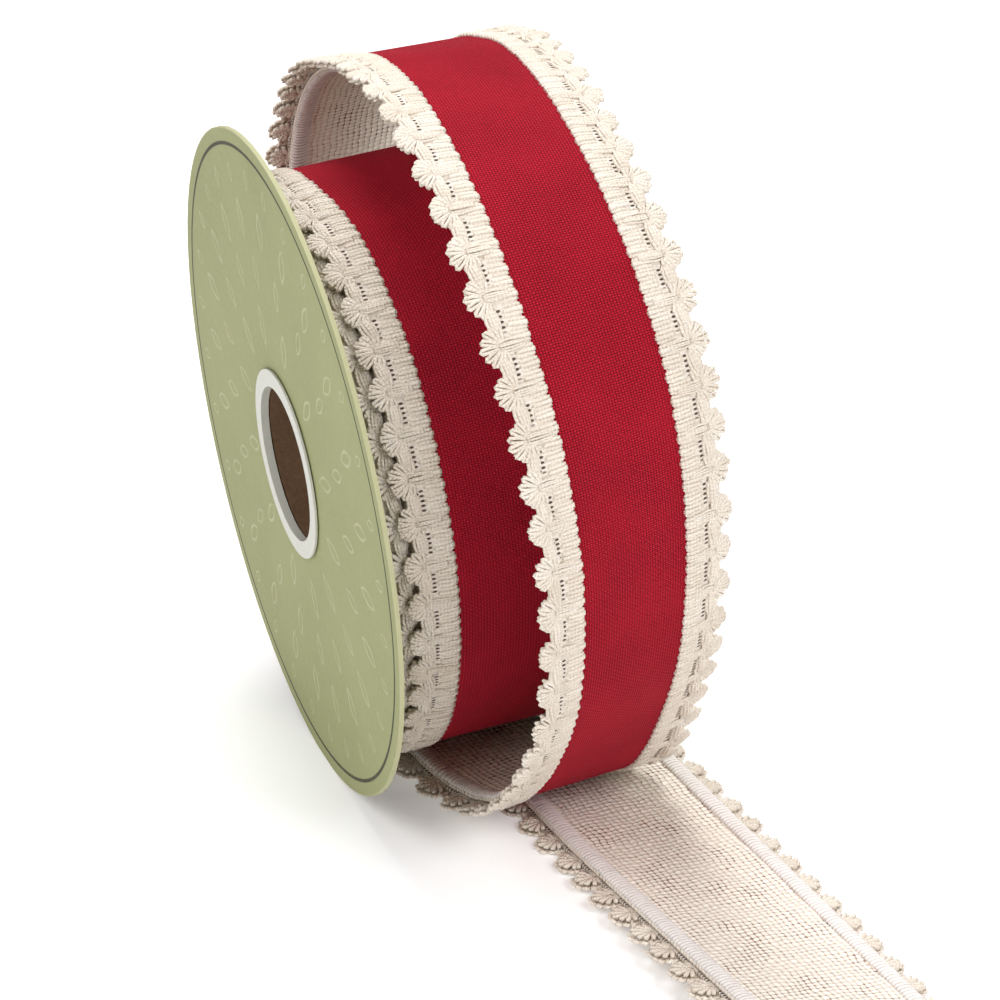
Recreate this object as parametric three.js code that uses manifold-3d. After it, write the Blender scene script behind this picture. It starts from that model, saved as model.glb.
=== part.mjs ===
// A spool of wired ribbon with a loose outer turn and a free end.
// Millimetres, +Z up. The spool's axis runs along X; the free end lies toward -Y on the surface.
import * as THREE from 'three';
import { mergeVertices } from 'three/addons/utils/BufferGeometryUtils.js';
import Module from 'manifold-3d';

const wasm = await Module();
wasm.setup();

// Spool sizes, measured along its own axis from the outer face of the left flange
const GAP = 0.3;                     // parting between neighbouring pieces
const FLANGE_RADIUS = 75;
const FLANGE_THICK = 1.0;
const FLANGE_INSIDE = 56.5;          // clear width between the two flanges
const HOLE_RADIUS = 18.4;            // hole in the flanges, lined by the hub rings
const CORE_BORE = 17.4;
const CORE_WALL = 2.6;
const RING_RADIUS = 21.3;
const RING_THICK = 0.5;
const SLEEVE_WALL = 0.7;
const SPOOL_TILT = THREE.MathUtils.degToRad(5.6);    // the right flange stands on two layers of ribbon
const FLAT_SPOT = 0.2;               // depth of the flat under the left flange
const SLAB_SIDE = 300;               // the slab that cuts this flat
const SLAB_HEIGHT = 20;

// Ribbon section: across the width from its centre line, and out from the cloth's outer face
const BAND_HALF = 13.75;
const CLOTH_HALF = 19.5;
const TRIM_TIP = 24.6;
const TRIM_VALLEY = 21.9;
const CLOTH_THICK = 1.0;
const BAND_THICK = 1.0;
const TRIM_THICK = 1.5;
const SCALLOP_PITCH = 9.4;
const BAND_GAP = 0.4;                // the band parts from the cloth by this much
const STRAIGHT_LENGTH = 190;         // the part that lies on the surface, drawn in longer steps
const STRAIGHT_STEP = 10;
const SHEET_STEP = 4.9;
const LOWEST = GAP + TRIM_THICK;        // height of the cloth where its face lies on the surface

// Wound roll
const ROLL_INNER = CORE_BORE + CORE_WALL + GAP;
const ROLL_RADIUS = 62.7;            // face of the red band on the outermost turn
// Centre line of the outermost turn, along the axis: it is wound askew at the top
const centreRows = [
  [145, 26.2], [165, 26.2], [175, 26.45], [182, 27.15], [187, 27.85], [192, 28.6], [199, 29.4], [207, 29.9],
  [217, 30.3], [230, 30.7], [290, 30.95], [320, 31.25], [360, 30.9], [420, 30.65], [505, 30.65],
];
const TRIM_RISE = 0.5;               // the trims stand this far above the red band
const ROLL_SAG = 6;                  // the outermost turn hangs this far out below the core
const SAG_TURN = 352;                // degrees from the bottom where it hangs out most
const SAG_WIDTH = 30;                // degrees over which the sag fades
const TURN_END = 145;                // degrees from the bottom, going to the back, where the turn is reached
const TURN_DROP = 3.2;               // one layer of ribbon
const DROP_FROM = 385;               // degrees from the bottom where the layer below starts to show
const DROP_TO = 470;                 // degrees from the bottom where the turn lies one layer lower
const CLOSING_TURN = 0.35;           // degrees between the roll's last section and its first
const UNDER_LAYER = 3.4;             // depth at which the earlier turns start
const END_GAP = 0.7;                 // parting between the loose cloth and the turn it runs onto
const UNDER_EDGE = 1.5;              // clearance of the earlier turns to the flanges
const ROLL_BEVEL = 0.3;              // the slanted corners of its bands

const OUTLINE_SIDES = 72;
const CORE_SIDES = 48;

// Colours
const COLOURS = {
  card: 0xa9aa82,
  hub: 0xc8c3bb,
  core: 0x886a52,
  cream: 0xe9dfd3,
  band: 0xa82438,
};

const deg = THREE.MathUtils.degToRad;

// Placing the tilted spool
const axisHeight = FLANGE_RADIUS * Math.cos(SPOOL_TILT) - FLAT_SPOT;
const spoolMatrix = new THREE.Matrix4()
  .makeTranslation(0, 0, axisHeight)
  .multiply(new THREE.Matrix4().makeRotationY(-SPOOL_TILT));

// A point by the spool: across along its axis, radius and turn from the bottom toward the back
function spoolPoint(across, radius, turn) {
  const a = deg(turn);
  return new THREE.Vector3(across, radius * Math.sin(a), -radius * Math.cos(a)).applyMatrix4(spoolMatrix);
}

// Ring about the spool's axis from a closed outline of [across, radius] pairs
function ringGeometry(outline, sides) {
  const points = outline.map(([across, radius]) => new THREE.Vector2(radius, across)).reverse();
  points.push(points[0].clone());
  const geometry = new THREE.LatheGeometry(points, sides);
  // the lathe turns about Y: lay its axis along X with a corner at the bottom
  geometry.applyMatrix4(new THREE.Matrix4().makeRotationX(Math.PI / 2));
  geometry.applyMatrix4(new THREE.Matrix4().makeRotationY(Math.PI / 2));
  return cleaned(geometry);
}

function cleaned(geometry) {
  geometry.deleteAttribute('normal');
  geometry.deleteAttribute('uv');
  return mergeVertices(geometry, 1e-4);
}

function toManifold(geometry) {
  return new wasm.Manifold(new wasm.Mesh({
    numProp: 3,
    vertProperties: new Float32Array(geometry.attributes.position.array),
    triVerts: new Uint32Array(geometry.index.array),
  }));
}

function fromManifold(solid) {
  const mesh = solid.getMesh();
  const geometry = new THREE.BufferGeometry();
  geometry.setAttribute('position', new THREE.BufferAttribute(new Float32Array(mesh.vertProperties), 3));
  geometry.setIndex(new THREE.BufferAttribute(new Uint32Array(mesh.triVerts), 1));
  return geometry;
}

// Closed body from rings of equal point count; looped joins the last ring to the first
function skinRings(rings, looped) {
  const count = rings[0].length;
  const positions = [];
  const index = [];
  for (const ring of rings) {
    for (const p of ring) positions.push(p.x, p.y, p.z);
  }
  const spans = looped ? rings.length : rings.length - 1;
  for (let i = 0; i < spans; i++) {
    const a = i * count;
    const b = ((i + 1) % rings.length) * count;
    for (let j = 0; j < count; j++) {
      const k = (j + 1) % count;
      index.push(a + j, b + j, b + k, a + j, b + k, a + k);
    }
  }
  if (!looped) {
    const last = (rings.length - 1) * count;
    for (let j = 1; j < count - 1; j++) {
      index.push(0, j, j + 1);
      index.push(last, last + j + 1, last + j);
    }
  }
  const geometry = new THREE.BufferGeometry();
  geometry.setAttribute('position', new THREE.Float32BufferAttribute(positions, 3));
  geometry.setIndex(index);
  return geometry;
}

// Route of the ribbon's centre line
// Each row is a place on the outer face of the cloth; leanY and leanZ tilt its width.
const routeRows = [
  { at: 'cut end', x: 71.2, y: -152, z: LOWEST + 3.3, leanY: 0, leanZ: -0.13 },
  { at: 'curling up at the left', x: 68.6, y: -122, z: LOWEST + 2.3, leanY: 0, leanZ: -0.09 },
  { at: 'curling up at the left', x: 65.5, y: -86, z: LOWEST + 1, leanY: 0, leanZ: -0.036 },
  { at: 'curling up at the left', x: 63.6, y: -64, z: LOWEST + 0.25, leanY: 0, leanZ: -0.008 },
  { at: 'on the surface', x: 62.4, y: -50, z: LOWEST, leanY: 0, leanZ: 0 },
  { at: 'under the spool', x: 59, y: -10, z: LOWEST, leanY: 0, leanZ: 0 },
  { at: 'behind the spool', x: 57.0, y: 14, z: LOWEST + 0.05, leanY: 0, leanZ: 0 },
  { at: 'behind the spool', x: 56.1, y: 26, z: LOWEST + 0.35, leanY: 0, leanZ: 0 },
  { at: 'rising at the back', x: 55.4, y: 37, z: 3.6, leanY: 0, leanZ: 0 },
  { at: 'rising at the back', x: 54.2, y: 54.5, z: 9.2, leanY: 0, leanZ: 0 },
  { at: 'rising at the back', x: 53, y: 70.2, z: 20, leanY: 0.02, leanZ: 0 },
  { at: 'rising at the back', x: 51.4, y: 82, z: 35.5, leanY: 0.04, leanZ: 0 },
  { at: 'rising at the back', x: 49.7, y: 89.3, z: 53.5, leanY: 0.06, leanZ: 0 },
  { at: 'rising at the back', x: 48, y: 91.8, z: 72.5, leanY: 0.08, leanZ: 0.01 },
  { at: 'rising at the back', x: 46.3, y: 89.8, z: 91.5, leanY: 0.09, leanZ: 0.02 },
  { at: 'rising at the back', x: 44.6, y: 83.3, z: 109.8, leanY: 0.09, leanZ: 0.03 },
  { at: 'over the top', x: 43, y: 72.8, z: 126.2, leanY: 0.07, leanZ: 0.04 },
  { at: 'over the top', x: 41.6, y: 58.8, z: 140, leanY: 0.05, leanZ: 0.05 },
  { at: 'over the top', x: 40.3, y: 41.5, z: 150.6, leanY: 0.03, leanZ: 0.05 },
  { at: 'over the top', x: 38.9, y: 22.3, z: 157.4, leanY: 0.01, leanZ: 0.04 },
  { at: 'crown', x: 37.6, y: 2, z: 162.4, leanY: 0.03, leanZ: 0.01 },
  { at: 'crown', x: 37.2, y: -23, z: 162.4, leanY: 0.06, leanZ: -0.03 },
  { at: 'down the front', x: 38.5, y: -49.3, z: 153.2, leanY: 0.08, leanZ: -0.03 },
  { at: 'down the front', x: 41.1, y: -68.3, z: 137.2, leanY: 0.13, leanZ: 0.04 },
  { at: 'down the front', x: 44.7, y: -79.8, z: 115.5, leanY: 0.19, leanZ: 0.1 },
  { at: 'down the front', x: 47.7, y: -83.2, z: 91.9, leanY: 0.26, leanZ: 0.1 },
  { at: 'down the front', x: 49.1, y: -82.5, z: 71.2, leanY: 0.3, leanZ: 0.12 },
  { at: 'down the front', x: 49.7, y: -77.6, z: 50.8, leanY: 0.29, leanZ: 0.16 },
  { at: 'turning under', x: 50, y: -67.9, z: 34.6, leanY: 0.24, leanZ: 0.16 },
  { at: 'turning under', x: 50.1, y: -57.5, z: 21.6, leanY: 0.18, leanZ: 0.12 },
  { at: 'turning under', x: 49.6, y: -48.5, z: 12.8, leanY: 0.13, leanZ: 0.08 },
  { at: 'turning under', x: 48.8, y: -40, z: 8, leanY: 0.1, leanZ: 0.06 },
  { at: 'turning under', x: 46.9, y: -31, z: 5.9, leanY: 0.07, leanZ: 0.05 },
  { at: 'under the spool', x: 44.5, y: -21, z: 5.1, leanY: 0.04, leanZ: 0.04 },
  { at: 'under the spool', x: 42.8, y: -9, z: 4.75, leanY: 0.01, leanZ: 0.03 },
  { at: 'under the spool', x: 41.6, y: 4, z: 4.75, leanY: 0, leanZ: 0.03 },
];

// Climb behind the spool onto the roll: across and radius by the spool's axis, turn from the bottom
const climbRows = [
  { turn: 25, radius: 76.4, across: 35.2, lean: 0.07 },
  { turn: 45, radius: 78.3, across: 33.8, lean: 0.09 },
  { turn: 65, radius: 78.6, across: 32.2, lean: Math.tan(SPOOL_TILT) },
  { turn: 85, radius: 78.0, across: 30.5, lean: Math.tan(SPOOL_TILT) },
  { turn: 102, radius: 74.2, across: 28.4, lean: Math.tan(SPOOL_TILT) },
  { turn: 118, radius: 68.2, across: 26.8, lean: Math.tan(SPOOL_TILT) },
  { turn: 132, radius: 63.5, across: 26.2, lean: Math.tan(SPOOL_TILT) },
];
const wrapRadius = ROLL_RADIUS - BAND_GAP - BAND_THICK;
const gapTurn = THREE.MathUtils.radToDeg(END_GAP / wrapRadius);
climbRows.push({
  turn: TURN_END - gapTurn, radius: wrapRadius, across: turnCentre(TURN_END), lean: Math.tan(SPOOL_TILT),
});

const routePoints = routeRows.map((row) => new THREE.Vector3(row.x, row.y, row.z));
const leanPoints = routeRows.map((row) => new THREE.Vector3(row.leanY, row.leanZ, 0));
for (const row of climbRows) {
  routePoints.push(spoolPoint(row.across, row.radius, row.turn));
  leanPoints.push(new THREE.Vector3(0, row.lean, 0));
}
const route = new THREE.CatmullRomCurve3(routePoints, false, 'centripetal');
route.arcLengthDivisions = 2000;
route.updateArcLengths();
const routeLength = route.getLength();

const leans = new THREE.CatmullRomCurve3(leanPoints, false, 'catmullrom');

// Frame of the ribbon at a distance along the route: centre, width and outward directions
function frameAt(distance) {
  const t = route.getUtoTmapping(Math.min(distance / routeLength, 1));
  const centre = route.getPoint(t);
  centre.z = Math.max(centre.z, LOWEST);
  const along = route.getTangent(t);
  const lean = leans.getPoint(t);
  const width = new THREE.Vector3(1, lean.x, lean.y);
  width.addScaledVector(along, -width.dot(along)).normalize();
  const out = new THREE.Vector3().crossVectors(along, width).normalize();
  return { centre, width, out };
}

function place(frame, across, out) {
  return frame.centre.clone().addScaledVector(frame.width, across).addScaledVector(frame.out, out);
}

// A strip of the ribbon: section gives its [across, out] corners at each distance
function stripGeometry(distances, section) {
  const rings = distances.map((distance) => {
    const frame = frameAt(distance);
    return section(distance).map(([across, out]) => place(frame, across, out));
  });
  return skinRings(rings, false);
}

function sheetSteps() {
  const straight = Math.round(STRAIGHT_LENGTH / STRAIGHT_STEP);
  const bent = Math.round((routeLength - STRAIGHT_LENGTH) / SHEET_STEP);
  const bentStep = (routeLength - STRAIGHT_LENGTH) / bent;
  return [
    ...Array.from({ length: straight }, (_, i) => i * STRAIGHT_STEP),
    ...Array.from({ length: bent + 1 }, (_, i) => STRAIGHT_LENGTH + i * bentStep),
  ];
}

// Scalloped edge: each scallop rises from its foot to a tip; both shares are half widths over the pitch
const TIP_SHARE = 0.14;
const FOOT_SHARE = 0.364;
function scallopSteps(length) {
  const count = Math.round(length / SCALLOP_PITCH);
  const pitch = length / count;
  const steps = [{ distance: 0, reach: 0 }];
  for (let i = 0; i < count; i++) {
    steps.push({ distance: (i + 0.5 - FOOT_SHARE) * pitch, reach: 0 });
    steps.push({ distance: (i + 0.5 - TIP_SHARE) * pitch, reach: 1 });
    steps.push({ distance: (i + 0.5 + TIP_SHARE) * pitch, reach: 1 });
    steps.push({ distance: (i + 0.5 + FOOT_SHARE) * pitch, reach: 0 });
  }
  steps.push({ distance: length, reach: 0 });
  return steps;
}

function edgeReach(reach) {
  return TRIM_VALLEY + (TRIM_TIP - TRIM_VALLEY) * reach;
}

// Loose cloth, face band and trims
function sheetGeometry(half, low, high) {
  return stripGeometry(sheetSteps(), () => [
    [-half, low], [-half, high], [0, high], [half, high], [half, low], [0, low],
  ]);
}

function backingGeometry() {
  return sheetGeometry(CLOTH_HALF, -CLOTH_THICK, 0);
}

function bandGeometry() {
  return sheetGeometry(BAND_HALF, BAND_GAP, BAND_GAP + BAND_THICK);
}

function trimGeometry(side) {
  const steps = scallopSteps(routeLength);
  const reaches = new Map(steps.map((step) => [step.distance, step.reach]));
  return stripGeometry(steps.map((step) => step.distance), (distance) => {
    const inner = side * (BAND_HALF + GAP);
    const outer = side * edgeReach(reaches.get(distance));
    const corners = [
      [inner, GAP], [inner, GAP + TRIM_THICK], [outer, GAP + TRIM_THICK], [outer, GAP],
    ];
    return side > 0 ? corners : corners.reverse();
  });
}

// Radius of the red band on the outermost turn, which sags at the bottom and ends one layer lower
function turnRadius(turn) {
  const sag = ROLL_SAG * Math.exp(-(((turn - SAG_TURN) / SAG_WIDTH) ** 2));
  const drop = TURN_DROP * THREE.MathUtils.smoothstep(turn, DROP_FROM, DROP_TO);
  return ROLL_RADIUS + sag - drop;
}

// Centre line of the outermost turn at a turn, read from the rows
function turnCentre(turn) {
  let row = 1;
  while (row < centreRows.length - 1 && centreRows[row][0] < turn) row += 1;
  const [fromTurn, fromCentre] = centreRows[row - 1];
  const [toTurn, toCentre] = centreRows[row];
  return THREE.MathUtils.lerp(fromCentre, toCentre, (turn - fromTurn) / (toTurn - fromTurn));
}

// Wound roll: earlier turns against the flanges, and the outermost turn with its scalloped trims
function rollGeometry() {
  const from = TURN_END;
  const to = TURN_END + 360 - CLOSING_TURN;
  const arc = deg(to - from) * ROLL_RADIUS;
  const left = FLANGE_THICK + UNDER_EDGE;
  const right = FLANGE_THICK + FLANGE_INSIDE - UNDER_EDGE;
  const step = ROLL_BEVEL;
  const rings = scallopSteps(arc).map(({ distance, reach }) => {
    const turn = from + ((to - from) * distance) / arc;
    const band = turnRadius(turn);
    const trim = band + TRIM_RISE;
    const under = band - UNDER_LAYER;
    const centre = turnCentre(turn);
    const bandLeft = centre - BAND_HALF - GAP;
    const bandRight = centre + BAND_HALF + GAP;
    const tipLeft = centre - edgeReach(reach);
    const tipRight = centre + edgeReach(reach);
    const outline = [
      [left, ROLL_INNER], [left, under], [tipLeft, under + step], [tipLeft, trim - step], [tipLeft + step, trim],
      [bandLeft, trim], [bandLeft + step, band], [bandRight - step, band], [bandRight, trim],
      [tipRight - step, trim], [tipRight, trim - step], [tipRight, under + step], [right, under],
      [right, ROLL_INNER],
    ];
    const a = deg(turn);
    return outline.map(([across, radius]) => (
      new THREE.Vector3(across, radius * Math.sin(a), -radius * Math.cos(a))
    ));
  });
  return skinRings(rings, true);
}

// Spool pieces
function flangeGeometry(outerFace) {
  return ringGeometry([
    [outerFace, HOLE_RADIUS], [outerFace + FLANGE_THICK, HOLE_RADIUS],
    [outerFace + FLANGE_THICK, FLANGE_RADIUS], [outerFace, FLANGE_RADIUS],
  ], OUTLINE_SIDES);
}

// The left flange has a small flat where it stands on the surface
function standingFlange() {
  const geometry = flangeGeometry(0);
  geometry.applyMatrix4(spoolMatrix);
  const slab = cleaned(new THREE.BoxGeometry(SLAB_SIDE, SLAB_SIDE, SLAB_HEIGHT)
    .translate(0, 0, -SLAB_HEIGHT / 2));
  const cut = fromManifold(toManifold(geometry).subtract(toManifold(slab)));
  return cut.applyMatrix4(spoolMatrix.clone().invert());
}

function hubRingGeometry(flangeFace, side) {
  const inner = HOLE_RADIUS - GAP - SLEEVE_WALL;
  const seat = flangeFace - side * GAP;
  const face = seat - side * RING_THICK;
  const depth = flangeFace + side * FLANGE_THICK;
  const outline = [
    [face, inner], [depth, inner], [depth, inner + SLEEVE_WALL], [seat, inner + SLEEVE_WALL],
    [seat, RING_RADIUS], [face, RING_RADIUS],
  ];
  return ringGeometry(side > 0 ? outline : outline.reverse(), CORE_SIDES);
}

function coreGeometry() {
  const from = FLANGE_THICK + GAP;
  const to = FLANGE_THICK + FLANGE_INSIDE - GAP;
  return ringGeometry([
    [from, CORE_BORE], [to, CORE_BORE], [to, CORE_BORE + CORE_WALL], [from, CORE_BORE + CORE_WALL],
  ], CORE_SIDES);
}

function piece(name, geometry, colour, roughness) {
  const material = new THREE.MeshStandardMaterial({ color: colour, roughness, metalness: 0 });
  const mesh = new THREE.Mesh(geometry, material);
  mesh.name = name;
  return mesh;
}

const rightFlangeFace = FLANGE_THICK + FLANGE_INSIDE;
const rightOuterFace = rightFlangeFace + FLANGE_THICK;

const spool = new THREE.Group();
spool.applyMatrix4(spoolMatrix);
spool.add(
  piece('spool_flange_left', standingFlange(), COLOURS.card, 0.6),
  piece('spool_flange_right', flangeGeometry(rightFlangeFace), COLOURS.card, 0.6),
  piece('spool_core', coreGeometry(), COLOURS.core, 0.9),
  piece('hub_ring_left', hubRingGeometry(0, 1), COLOURS.hub, 0.5),
  piece('hub_ring_right', hubRingGeometry(rightOuterFace, -1), COLOURS.hub, 0.5),
  piece('ribbon_roll', rollGeometry(), COLOURS.cream, 0.9),
);

const loose = new THREE.Group();
loose.add(
  piece('ribbon_backing', backingGeometry(), COLOURS.cream, 0.9),
  piece('ribbon_face', bandGeometry(), COLOURS.band, 0.85),
  piece('trim_left', trimGeometry(-1), COLOURS.cream, 0.95),
  piece('trim_right', trimGeometry(1), COLOURS.cream, 0.95),
);

// The origin is under the middle of the whole thing, on the surface it rests on
const group = new THREE.Group();
group.add(spool, loose);
group.updateMatrixWorld(true);
const bounds = new THREE.Box3().setFromObject(group, true);
group.position.set(-(bounds.min.x + bounds.max.x) / 2, -(bounds.min.y + bounds.max.y) / 2, 0);
group.updateMatrixWorld(true);

export default group;
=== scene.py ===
import math

import bpy
import numpy as np
from mathutils import Matrix, Vector


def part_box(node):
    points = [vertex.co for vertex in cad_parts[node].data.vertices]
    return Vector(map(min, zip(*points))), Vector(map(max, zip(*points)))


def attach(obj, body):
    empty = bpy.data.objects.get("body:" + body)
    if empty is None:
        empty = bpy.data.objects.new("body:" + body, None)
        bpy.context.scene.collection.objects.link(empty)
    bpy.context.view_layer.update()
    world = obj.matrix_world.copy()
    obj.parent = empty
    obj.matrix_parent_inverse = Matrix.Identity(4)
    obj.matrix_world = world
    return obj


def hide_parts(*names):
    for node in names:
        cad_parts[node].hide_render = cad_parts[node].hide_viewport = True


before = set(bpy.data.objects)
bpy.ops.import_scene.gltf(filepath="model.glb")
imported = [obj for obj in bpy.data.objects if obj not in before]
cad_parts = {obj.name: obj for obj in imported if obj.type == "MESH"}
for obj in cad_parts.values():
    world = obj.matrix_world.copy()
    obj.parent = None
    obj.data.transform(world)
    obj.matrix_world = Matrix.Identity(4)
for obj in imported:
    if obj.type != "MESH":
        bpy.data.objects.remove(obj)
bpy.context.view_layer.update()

# ---------------------------------------------------------------- sizes, in millimetres
PER_METRE = 1000
FLOOR_GAP = 0.00002  # in metres, between the floor and the lowest points
TILT = math.radians(5.6)  # the spool leans on its own ribbon
LEAN = math.tan(TILT)
FLANGE_RADIUS = 75
FLAT_DEPTH = 0.2  # of the flat that the flange stands on
AXIS_Z = FLANGE_RADIUS * math.cos(TILT) - FLAT_DEPTH
LOWEST = 1.8  # of the ribbon's centre line
CLOTH_HALF = 19.5
CLOTH_UNDER, CLOTH_OVER = -0.95, -0.1
BAND_HALF = 14.4
BAND_UNDER, BAND_OVER, ROLL_BAND_OVER = 0.45, 1.2, 1.3
BAND_TOP = 1.4
SCALLOP = 9.4
STITCH = 1.15
ROLL_RADIUS, ROLL_INNER = 62.7, 20.3
WRAP = ROLL_RADIUS - BAND_TOP
TURN_END = 145.0  # where the loose ribbon meets the roll, in degrees
JOIN_STOP = 0.7
BEND_STEPS, TURN_STEPS = 441, 181
CLOTH_COLUMNS, BAND_COLUMNS = 15, 11

flange_low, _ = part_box("spool_flange_left")
SHIFT = np.array([flange_low[0] * PER_METRE + FLANGE_RADIUS * math.sin(TILT),
                  flange_low[1] * PER_METRE + FLANGE_RADIUS, 0.0])

# The centre line of the outermost turn: turn in degrees, and across along the axis
TURN_CENTRE = np.array([
    (145, 26.2), (165, 26.2), (175, 26.45), (182, 27.15), (187, 27.85),
    (192, 28.6), (199, 29.4), (207, 29.9), (217, 30.3), (230, 30.7),
    (290, 30.95), (320, 31.25), (360, 30.9), (420, 30.65), (505, 30.65),
])

# Rows of the ribbon's route: x, y, z of its centre line, and the lean of its width along Y and Z
ROUTE = np.array([
    (71.2, -152, 5.1, 0, -0.13), (68.6, -122, 4.1, 0, -0.09), (65.5, -86, 2.8, 0, -0.036),
    (63.6, -64, 2.05, 0, -0.008), (62.4, -50, 1.8, 0, 0), (59, -10, 1.8, 0, 0),
    (57, 14, 1.85, 0, 0), (56.1, 26, 2.15, 0, 0), (55.4, 37, 3.6, 0, 0),
    (54.2, 54.5, 9.2, 0, 0), (53, 70.2, 20, 0.02, 0), (51.4, 82, 35.5, 0.04, 0),
    (49.7, 89.3, 53.5, 0.06, 0), (48, 91.8, 72.5, 0.08, 0.01), (46.3, 89.8, 91.5, 0.09, 0.02),
    (44.6, 83.3, 109.8, 0.09, 0.03), (43, 72.8, 126.2, 0.07, 0.04), (41.6, 58.8, 140, 0.05, 0.05),
    (40.3, 41.5, 150.6, 0.03, 0.05), (38.9, 22.3, 157.4, 0.01, 0.04), (37.6, 2, 162.4, 0.03, 0.01),
    (37.2, -23, 162.4, 0.06, -0.03), (38.5, -49.3, 153.2, 0.08, -0.03),
    (41.1, -68.3, 137.2, 0.13, 0.04), (44.7, -79.8, 115.5, 0.19, 0.1),
    (47.7, -83.2, 91.9, 0.26, 0.1), (49.1, -82.5, 71.2, 0.3, 0.12), (49.7, -77.6, 50.8, 0.29, 0.16),
    (50, -67.9, 34.6, 0.24, 0.16), (50.1, -57.5, 21.6, 0.18, 0.12), (49.6, -48.5, 12.8, 0.13, 0.08),
    (48.8, -40, 8, 0.1, 0.06), (46.9, -31, 5.9, 0.07, 0.05), (44.5, -21, 5.1, 0.04, 0.04),
    (42.8, -9, 4.75, 0.01, 0.03), (41.6, 4, 4.75, 0, 0.03),
])
# Rows of the climb onto the roll: turn in degrees, radius, across along the axis, lean along Z
CLIMB = [
    (25, 76.4, 35.2, 0.07), (45, 78.3, 33.8, 0.09), (65, 78.6, 32.2, LEAN), (85, 78, 30.5, LEAN),
    (102, 74.2, 28.4, LEAN), (118, 68.2, 26.8, LEAN), (132, 63.5, 26.2, LEAN),
    (TURN_END - math.degrees(JOIN_STOP / WRAP), WRAP, 26.2, LEAN),
]


# ---------------------------------------------------------------- the ribbon's route
def unit(v):
    return v / np.linalg.norm(v, axis=-1, keepdims=True)


def spool_point(across, radius, turn):
    """A point of the tilted spool; turn 0 is its lowest side."""
    a = np.radians(turn)
    y = radius * np.sin(a)
    z = -radius * np.cos(a)
    c, s = math.cos(TILT), math.sin(TILT)
    return np.stack([across * c - z * s, y + 0 * across, across * s + z * c + AXIS_Z], -1)


CENTRIPETAL = 0.25  # power of the squared distance between two points


def spline(points, t, centripetal):
    last = len(points) - 1
    ext = np.vstack([2 * points[0] - points[1], points, 2 * points[-1] - points[-2]])
    p = np.clip(t, 0, 1) * last
    i = np.minimum(p.astype(int), last - 1)
    w = (p - i)[:, None]
    p0, p1, p2, p3 = ext[i], ext[i + 1], ext[i + 2], ext[i + 3]
    if centripetal:
        d0, d1, d2 = (np.sum((b - a) ** 2, 1)[:, None] ** CENTRIPETAL
                      for a, b in ((p0, p1), (p1, p2), (p2, p3)))
        t1 = ((p1 - p0) / d0 - (p2 - p0) / (d0 + d1) + (p2 - p1) / d1) * d1
        t2 = ((p2 - p1) / d1 - (p3 - p1) / (d1 + d2) + (p3 - p2) / d2) * d1
    else:
        t1, t2 = (p2 - p0) / 2, (p3 - p1) / 2
    c2 = -3 * p1 + 3 * p2 - 2 * t1 - t2
    c3 = 2 * p1 - 2 * p2 + t1 + t2
    return p1 + t1 * w + c2 * w ** 2 + c3 * w ** 3


FINE_STEPS = 8001
ROUTE_STEP = 0.25  # millimetres between the rows of the route's tables
TANGENT_STEP = 1e-4
climb_points = [spool_point(np.float64(across), np.float64(radius), np.float64(turn))
                for turn, radius, across, _ in CLIMB]
route_points = np.vstack([ROUTE[:, :3], climb_points])
route_leans = np.vstack([ROUTE[:, 3:], [(0, row[3]) for row in CLIMB]])
fine = np.linspace(0, 1, FINE_STEPS)
fine_gaps = np.linalg.norm(np.diff(spline(route_points, fine, True), axis=0), axis=1)
fine_length = np.concatenate([[0], np.cumsum(fine_gaps)])
ROUTE_LENGTH = float(fine_length[-1])
STEPS = np.append(np.arange(0, ROUTE_LENGTH, ROUTE_STEP), ROUTE_LENGTH)
step_t = np.interp(STEPS, fine_length, fine)
CENTRE = spline(route_points, step_t, True)
CENTRE[:, 2] = np.maximum(CENTRE[:, 2], LOWEST)
ALONG = unit(spline(route_points, np.minimum(step_t + TANGENT_STEP, 1), True)
             - spline(route_points, np.maximum(step_t - TANGENT_STEP, 0), True))
WIDTH = np.column_stack([np.ones(len(step_t)), spline(route_leans, step_t, False)])
WIDTH = unit(WIDTH - ALONG * np.sum(WIDTH * ALONG, 1, keepdims=True))
OUT = unit(np.cross(ALONG, WIDTH))


def on_route(p):
    """Points of the loose ribbon from (distance, across, out)."""
    s = p[..., 0]

    def at(table):
        return np.stack([np.interp(s, STEPS, table[:, k]) for k in range(3)], -1)
    return at(CENTRE) + at(WIDTH) * p[..., 1:2] + at(OUT) * p[..., 2:3]


SAG, SAG_TURN, SAG_SPREAD = 6, 352, 30  # the outer turn hangs a little below the roll
TIGHT, TIGHT_FROM, TIGHT_TO = 3.2, 385, 470  # and is drawn tighter at the back
ROLL_FROM, ROLL_TO = TURN_END, TURN_END + 359.65
ROLL_ARC = math.radians(ROLL_TO - ROLL_FROM) * ROLL_RADIUS
LOWER_CENTRE, LOWER_DEPTH = 29.0, 2.0
LOWER_DRIFT, LOWER_PHASE = 1.5, 0.6
LOWER_WIDE, LOWER_FLAT = 1.02, 0.8


def smooth(x, low, high):
    k = np.clip((x - low) / (high - low), 0, 1)
    return k * k * (3 - 2 * k)


def turn_radius(turn):
    sag = SAG * np.exp(-(((turn - SAG_TURN) / SAG_SPREAD) ** 2))
    return ROLL_RADIUS + sag - TIGHT * smooth(turn, TIGHT_FROM, TIGHT_TO)


def roll_turn(distance):
    return ROLL_FROM + (ROLL_TO - ROLL_FROM) * distance / ROLL_ARC


def on_roll(p):
    """Points of the outermost turn from (distance, across, out)."""
    turn = roll_turn(p[..., 0])
    across = np.interp(turn, TURN_CENTRE[:, 0], TURN_CENTRE[:, 1]) + p[..., 1]
    return spool_point(across, turn_radius(turn) - BAND_TOP + p[..., 2], turn)


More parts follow.
